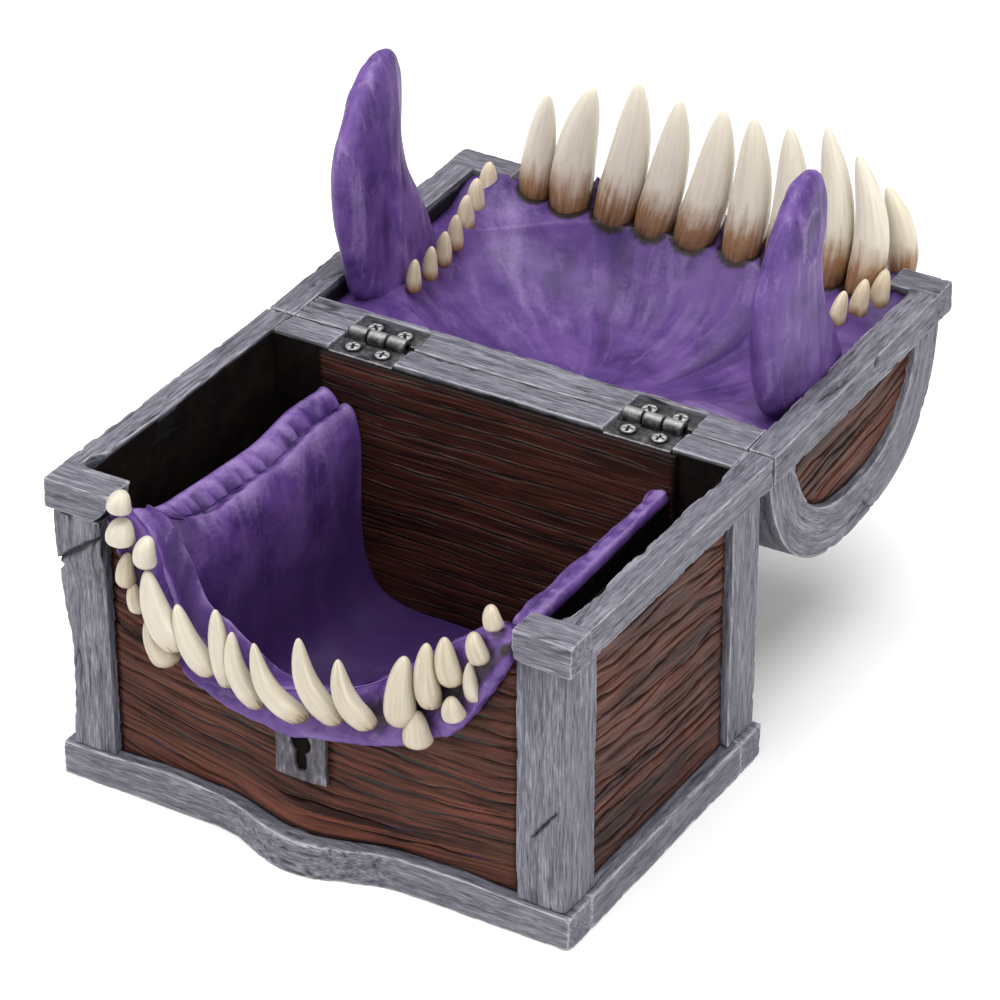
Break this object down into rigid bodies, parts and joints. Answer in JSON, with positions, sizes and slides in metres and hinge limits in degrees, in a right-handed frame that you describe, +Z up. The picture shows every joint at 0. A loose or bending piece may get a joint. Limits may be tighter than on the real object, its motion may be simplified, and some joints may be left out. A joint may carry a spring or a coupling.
{
  "type": "chest-shaped dice box",
  "caption": "Chest-shaped dice box with a toothed mouth cut into its front and a barrel lid, lined with a palate and two horns, on two butt hinges.",
  "frame": {"origin": "centre of the flat underside", "axes": "+Z up, -Y is the front with the mouth and lock plate, +X is the chest's right-hand side seen from the front"},
  "size_m": [0.118, 0.1704, 0.1172],
  "materials": {
    "grey_timber": "cast resin painted as weathered grey timber, dry-brushed, satin",
    "brown_plank": "cast resin painted as red-brown planks, black-washed grooves, semi-gloss",
    "flesh": "cast resin painted violet, dry-brushed with paler violet, satin",
    "ivory": "cast resin painted ivory, brown wash at the roots, gloss",
    "aged_metal": "antiqued dark steel",
    "dark_inside": "cast resin, near black, matte"
  },
  "bodies": {
    "chest": {"plinth_front_rail": "grey_timber", "plinth_left_rail": "grey_timber", "plinth_right_rail": "grey_timber", "plinth_back_rail": "grey_timber", "floor_board": "dark_inside", "post_front_left": "grey_timber", "post_front_right": "grey_timber", "post_back_left": "grey_timber", "post_back_right": "grey_timber", "left_panel": "brown_plank", "right_panel": "brown_plank", "back_panel": "brown_plank", "back_inner_planks": "brown_plank", "front_panel": "brown_plank", "rim_left_rail": "grey_timber", "rim_right_rail": "grey_timber", "rim_front_left_block": "grey_timber", "rim_front_right_block": "grey_timber", "rim_back_rail": "grey_timber", "left_cheek": "flesh", "right_cheek": "flesh", "front_lining": "flesh", "mouth_floor": "flesh", "lower_gum": "flesh", "lower_fangs": "ivory", "lower_small_teeth": "ivory", "lock_plate": "aged_metal", "left_hinge_chest_leaf": "aged_metal", "left_hinge_pin": "aged_metal", "right_hinge_chest_leaf": "aged_metal", "right_hinge_pin": "aged_metal", "chest_hinge_screws": "aged_metal"},
    "lid": {"lid_back_rail": "grey_timber", "left_hinge_lid_leaf": "aged_metal", "right_hinge_lid_leaf": "aged_metal", "lid_hinge_screws": "aged_metal", "lid_left_rail": "grey_timber", "lid_right_rail": "grey_timber", "lid_front_left_block": "grey_timber", "lid_front_right_block": "grey_timber", "lid_left_arch": "grey_timber", "lid_left_end_panel": "brown_plank", "lid_right_arch": "grey_timber", "lid_right_end_panel": "brown_plank", "lid_back_planks": "brown_plank", "lid_crown_planks": "brown_plank", "lid_front_planks": "brown_plank", "lid_palate": "flesh", "upper_gum": "flesh", "upper_fangs": "ivory", "lid_left_small_teeth": "ivory", "lid_right_small_teeth": "ivory", "left_horn": "flesh", "right_horn": "flesh"}
  },
  "joints": [
    {"name": "lid_hinge", "type": "hinge", "parent": "chest", "child": "lid", "pos_m": [0, 0.0395, 0.06965], "axis": [1, 0, 0], "range_deg": [0, 178.1]}
  ]
}
